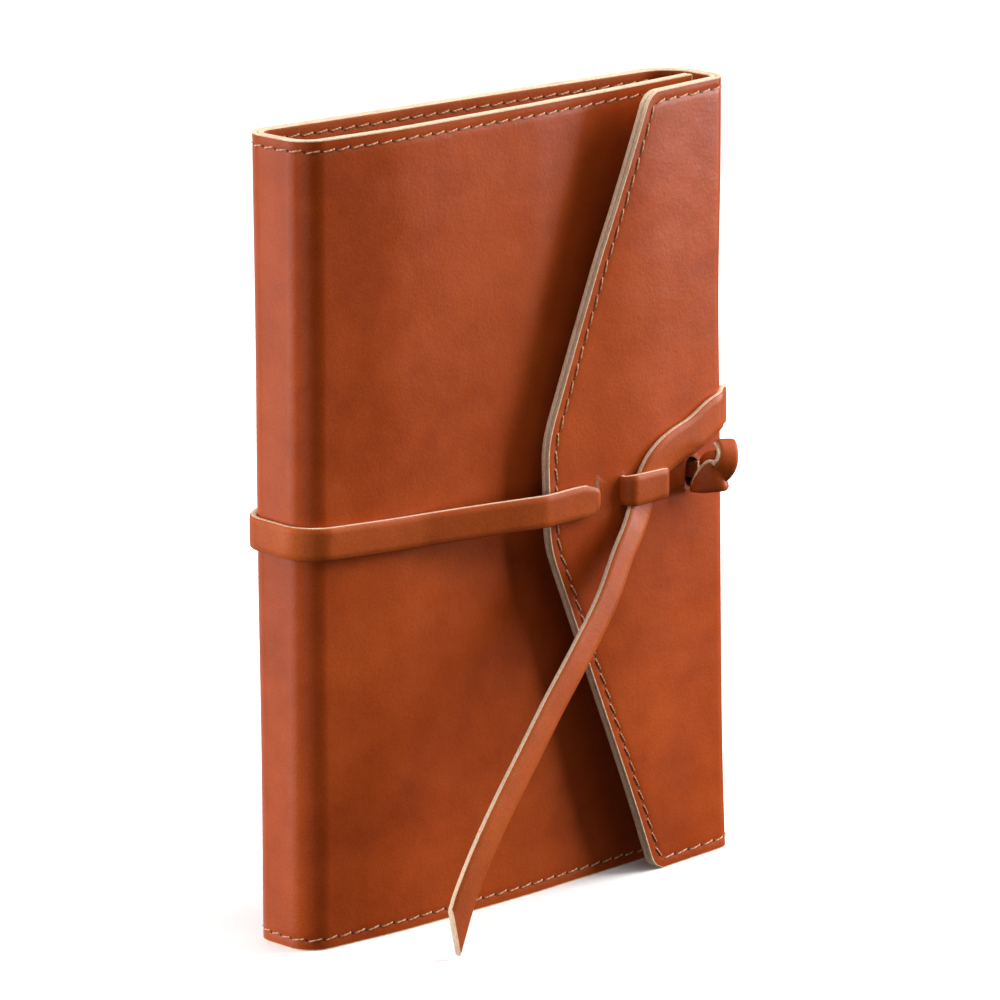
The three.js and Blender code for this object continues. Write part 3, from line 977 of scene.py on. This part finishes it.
def sheet_shift(centres):
    """How far the leather under the lace stands off the drawing's plain outline."""
    x, y, z = centres.T
    at_fold = smoothstep(FOLD_X - 40, FOLD_X, x)
    at_back = smoothstep(-8, BACK_Y, y) * smoothstep(SPINE_X + LEAN_REACH, SPINE_X, x)
    return np.column_stack([(fold_flare(z) + LACE_OFF_FOLD) * at_fold, spine_lean(z) * at_back, 0 * z])


def make_lace_runs():
    bends = [LACE_SPINE_FRONT, LACE_SPINE_BACK, LACE_FOLD_BACK, LACE_FOLD_FRONT]
    middles = [LACE_SPINE_FRONT - 45, *((a + b) / 2 for a, b in zip(bends, bends[1:]))]
    leaf = lace_run("front_strap", 0, middles[0])
    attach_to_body(leaf, "tie_front")
    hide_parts("lace_front")
    runs = [
        ("spine_front_strap", "tie_front", "tie_spine", 7, "lace_spine"),
        ("spine_back_strap", "tie_spine", "tie_back", 7, "lace_back"),
        ("fold_strap", "tie_back", "tie_fold", 9, "lace_fold"),
    ]
    made = [leaf]
    for (name, a, b, reach, node), bend, start, end in zip(runs, bends, middles, middles[1:]):
        run = lace_run(name, start, end)
        blend_at(run, LACE_LINE, bend, reach, float(lace_height(np.array([bend]))[0]))
        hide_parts(node)
        made.append(run)
    return made, middles[3]


def make_cross(start_at):
    """From the middle of the fold over the flap to the loop, where the tail takes over."""
    s = spaced(start_at, LACE_FOLD_FRONT - 3, 1.5)
    round_fold = np.column_stack([LACE_LINE.place(s), lace_height(s)])
    centres = np.vstack([round_fold + sheet_shift(round_fold), crossing[3:joint_at + 1]])
    faces = np.vstack([
        np.column_stack([LACE_LINE.normal(s), np.zeros(len(s))]),
        crossing_faces[3:joint_at + 1],
    ])
    to_loop = smoothstep(len(centres) - 15, len(centres) - 2, np.arange(len(centres)))
    widths = CROSSING_WIDTH + (LACE_WIDTH - CROSSING_WIDTH) * to_loop
    piece = strap("crossing_strap", centres, faces, widths, LACE_THICKNESS)
    blend_at(piece, LACE_LINE, LACE_FOLD_FRONT, reach=6, height=131)
    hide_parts("lace_cross")
    return piece


def weave_line(stops):
    """The line through stops (x, out of the flap, radius)."""
    corners = []
    for x, out, radius in stops:
        p = COVER.place(COVER.at_x(x, FOLD_FRONT), out)
        corners.append((*p, radius))
    return RoundedLine(corners, arc_step=10)


LOOP_OUT = 3.35  # of the keeper loop's middle from the flap
LOOP_RADIUS = 2.5
SLIT_RADIUS = 1.7
LOOP_END = 3.4  # how far the loop narrows at each end
WEAVE_THICKNESS = 1.9
WEAVE_STEP = 1.2
KNOT_END = 3.4  # how far past its slit the weave ends, under the knot


def make_weave():
    """The lace through the flap's slits, with the keeper loop between two of them."""
    inside = -SHEET - LACE_MIDDLE
    knot, right, left, front = SLITS.values()
    line = weave_line([
        (knot + KNOT_END, 1, 0),
        (knot + KNOT_END, inside, SLIT_RADIUS),
        (right, inside, SLIT_RADIUS),
        (right, LOOP_OUT, LOOP_RADIUS),
        (left, LOOP_OUT, LOOP_RADIUS),
        (left, inside, SLIT_RADIUS),
        (front, inside, SLIT_RADIUS),
        (front, LACE_MIDDLE, SLIT_RADIUS),
        (front - FRONT_END, LACE_MIDDLE, 0),
    ])
    stops = np.concatenate([spaced(a, b, WEAVE_STEP) for a, b in zip(line.s, line.s[1:])])
    s = np.unique(np.round(stops, 4))
    xy = line.place(s)
    x = xy[:, 0]
    z = LOOP_HEIGHT - 0.8 + 0.7 * smoothstep(front, left, x)
    centres = np.column_stack([xy, z])
    faces = np.column_stack([line.normal(s), 0 * s])
    to_end = np.minimum(x - left + 1, right + 1 - x) / LOOP_END
    widths = (LOOP_WIDTH - 0.04 * (x - left)) * (0.66 + 0.34 * round_end(to_end))
    widths = np.where(x < front + 1.5, width_near_slit(x), widths)
    piece = strap("woven_strap", centres, faces, widths, WEAVE_THICKNESS)
    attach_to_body(piece, "flap")
    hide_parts("lace_weave")
    return piece


def view_basis():
    """Right, up and outward as the camera looks at the knot, whose bands are given in these directions."""
    a, e = CAMERA_AZIMUTH, CAMERA_ELEVATION
    right = np.array([math.cos(a), math.sin(a), 0])
    toward = np.array([math.sin(a) * math.cos(e), -math.cos(a) * math.cos(e), math.sin(e)])
    return np.array([right, np.cross(toward, right), toward])


# The knot's folded bands, as pairs of edge points (right, up, outward) about the knot's middle.
KNOT_MIDDLE = (64.0, -19.3, 116.9)
KNOT_BANDS = {
    "high": [
        ((0.5, 4.8, -3), (5.6, 5, -3)), ((0.8, 5.7, -0.4), (6, 5.9, -0.8)),
        ((1.6, 4.7, 2.4), (6.6, 4.7, 0.8)), ((1.9, 2.7, 3.8), (6.9, 2.2, 1.8)),
        ((1.5, 0.8, 4.2), (6.7, -0.6, 2.2)), ((0.2, -0.7, 4), (6, -2.6, 2.2)),
        ((-1, -1.9, 2.8), (4.6, -4.6, 1.6)), ((-1.2, -3, 0.8), (3, -5.6, 0.2)),
    ],
    "low": [
        ((-5.6, -6, -1.5), (-5.4, -8.4, -2.2)), ((-5.4, -4.7, 1.4), (-5.8, -8.6, 0.4)),
        ((-4.3, -2.9, 2.8), (-4.6, -8.7, 1.4)), ((-2.6, -0.8, 3.6), (-2, -8.7, 2)),
        ((-1, 0.1, 3.8), (0.8, -8.5, 2.2)), ((0.8, -0.1, 3.2), (3.2, -8.2, 1.4)),
        ((2.2, -1.8, 1), (3.9, -7.4, -1)),
    ],
    "inner": [
        ((-3.7, 0, -1), (-2.6, -1.4, -1)), ((-3.1, 1.6, 0.4), (-2, -0.6, 0.8)),
        ((-1.4, 2.9, 1), (-0.6, 0, 1.6)), ((1.2, 3.2, 0.8), (1.6, 0.6, 1.4)), ((3, 3.2, 0), (3.2, 0.8, 0.4)),
    ],
    "core": [
        ((-3, -0.5, -2.5), (-3, -5.6, -2.5)), ((-1, 0.6, -2.3), (-1, -5.8, -2.3)),
        ((2, 1.6, -2.3), (2, -5.6, -2.3)), ((4, 1.6, -2.5), (4, -5, -2.5)),
    ],
}
# Where the knot shows the lace's cut edge from the side, as points in the same directions.
KNOT_RIMS = [
    [(0.4, 5.1, 0.2), (1.1, 3.9, 2.4), (1.4, 2.6, 3.9), (1, 0.7, 4.6), (-0.3, -0.9, 4.6)],
    [
        (-5.8, -8.2, 0.6), (-5.7, -6.2, 1.4), (-4.6, -3.3, 2.8),
        (-2.7, -0.8, 3.8), (-1.1, 0.1, 4.2), (0.1, -0.1, 4.2),
    ],
]
KNOT_THICKNESS = {"high": 1.7, "low": 1.7, "inner": 1.7, "core": 3.6}
BAND_SECTIONS = 26
BAND_STEP = 0.7
RIM_RADIUS = 0.55
RIM_SIDES = 8


def band_edge(points):
    """Evenly spaced points on a smooth curve along one edge of a band."""
    fine = smooth_route(points, BAND_STEP)
    at = np.linspace(0, len(fine) - 1, BAND_SECTIONS)
    return np.stack([np.interp(at, range(len(fine)), fine[:, k]) for k in range(3)], axis=1)


def add_band(shape, band, thickness):
    """A folded band of the lace between two edges, in the knot's own directions."""
    a, b = (band_edge([pair[side] for pair in band]) for side in (0, 1))
    centres, across = (a + b) / 2, a - b
    widths = np.linalg.norm(across, axis=1)
    normal = unit_rows(np.cross(across, np.gradient(centres, axis=0)))
    across /= widths[:, None]
    if normal[:, 2].sum() < 0:
        normal = -normal
    points, flats = [], []
    for i in range(BAND_SECTIONS):
        for x, y in strap_section(widths[i], thickness):
            points.append(centres[i] + across[i] * x + normal[i] * y)
            flats.append((i * BAND_STEP, x + 40, y))
    shape.add_tube(points, flats, SECTION_POINTS, SECTION_RAW, cap_slot=1)


def add_rim(shape, route):
    """The raw cut edge along a route."""
    edge = band_edge(route)
    tangents = unit_rows(np.gradient(edge, axis=0))
    beside = unit_rows(np.cross(tangents, [0, 0, 1]))
    over = np.cross(beside, tangents)
    points, flats = [], []
    for i, centre in enumerate(edge):
        for k in range(RIM_SIDES):
            a = 2 * math.pi * k / RIM_SIDES
            offset = beside[i] * math.cos(a) + over[i] * math.sin(a)
            points.append(centre + offset * RIM_RADIUS)
            flats.append((i * BAND_STEP, math.cos(a), math.sin(a)))
    shape.add_tube(points, flats, RIM_SIDES, range(RIM_SIDES), cap_slot=1)


def make_knot():
    shape = Shape()
    for name, band in KNOT_BANDS.items():
        add_band(shape, band, KNOT_THICKNESS[name])
    for route in KNOT_RIMS:
        add_rim(shape, route)
    shape.points = np.array(shape.points) @ view_basis() + np.array(KNOT_MIDDLE)
    piece = shape.make("knotted_strap", [LACE, RAW])
    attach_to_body(piece, "flap")
    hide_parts("lace_knot")
    return piece


runs, fold_start = make_lace_runs()
for piece in [*runs, make_cross(fold_start), make_weave(), make_knot()]:
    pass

# ---- Floor and light, in metres and watts ----

FLOOR_REACH = 6
LIGHT_TARGET = Vector((0, 0, 0.11))
WALL_LIGHT = 0.03
BACK_WALL_LIGHT = 0.7
CEILING_LIGHT = 2.3
SOFTBOXES = {  # azimuth and elevation in degrees, distance, size and power
    "right": (69, 20, 1.5, (0.8, 1.3), 47),
    "left": (-118, 6, 1.5, (1.1, 1.3), 24),
    "low": (-58, 0, 1.6, (1.2, 0.6), 4.5),
}


def make_floor():
    mesh = bpy.data.meshes.new("floor")
    r = FLOOR_REACH
    mesh.from_pydata([(-r, -r, 0), (r, -r, 0), (r, r, 0), (-r, r, 0)], [], [(0, 1, 2, 3)])
    mesh.materials.append(pale_paper("floor"))
    floor = bpy.data.objects.new("floor", mesh)
    bpy.context.scene.collection.objects.link(floor)
    floor.visible_diffuse = False
    floor.visible_glossy = False
    floor.visible_shadow = False


def softbox(name, azimuth, elevation, distance, size, power):
    """A soft light round the object: azimuth 0 is in front of it and 90 to its right."""
    data = bpy.data.lights.new(name, "AREA")
    data.shape = "RECTANGLE"
    data.size, data.size_y = size
    data.energy = power
    light = bpy.data.objects.new(name, data)
    bpy.context.scene.collection.objects.link(light)
    a, e = math.radians(azimuth), math.radians(elevation)
    away = Vector((math.sin(a) * math.cos(e), -math.cos(a) * math.cos(e), math.sin(e)))
    light.location = LIGHT_TARGET + away * distance
    light.rotation_euler = (-away).to_track_quat("-Z", "Y").to_euler()


def light_level(nodes, links, value, low, high, to_low, to_high):
    """A level that rises smoothly with a value."""
    level = nodes.new("ShaderNodeMapRange")
    level.interpolation_type = "SMOOTHSTEP"
    links.new(value, level.inputs["Value"])
    sizes = {"From Min": low, "From Max": high, "To Min": to_low, "To Max": to_high}
    for name, size in sizes.items():
        level.inputs[name].default_value = size
    return level.outputs["Result"]


def make_world():
    """A bright ceiling that lights the floor, dim walls in front and a brighter wall behind."""
    world = bpy.data.worlds.new("studio")
    world.use_nodes = True
    nodes, links = world.node_tree.nodes, world.node_tree.links
    split = nodes.new("ShaderNodeSeparateXYZ")
    links.new(nodes.new("ShaderNodeTexCoord").outputs["Generated"], split.inputs[0])
    ceiling = light_level(nodes, links, split.outputs["Z"], 0.6, 0.9, WALL_LIGHT, CEILING_LIGHT)
    back_wall = light_level(nodes, links, split.outputs["Y"], 0.3, 0.9, 0, BACK_WALL_LIGHT)
    total = nodes.new("ShaderNodeMath")
    links.new(ceiling, total.inputs[0])
    links.new(back_wall, total.inputs[1])
    links.new(total.outputs[0], nodes["Background"].inputs["Strength"])
    nodes["Background"].inputs["Color"].default_value = (1, 1, 1, 1)
    bpy.context.scene.world = world


make_floor()
make_world()
for name, settings in SOFTBOXES.items():
    softbox(name, *settings)
bpy.context.scene.view_settings.view_transform = "Standard"
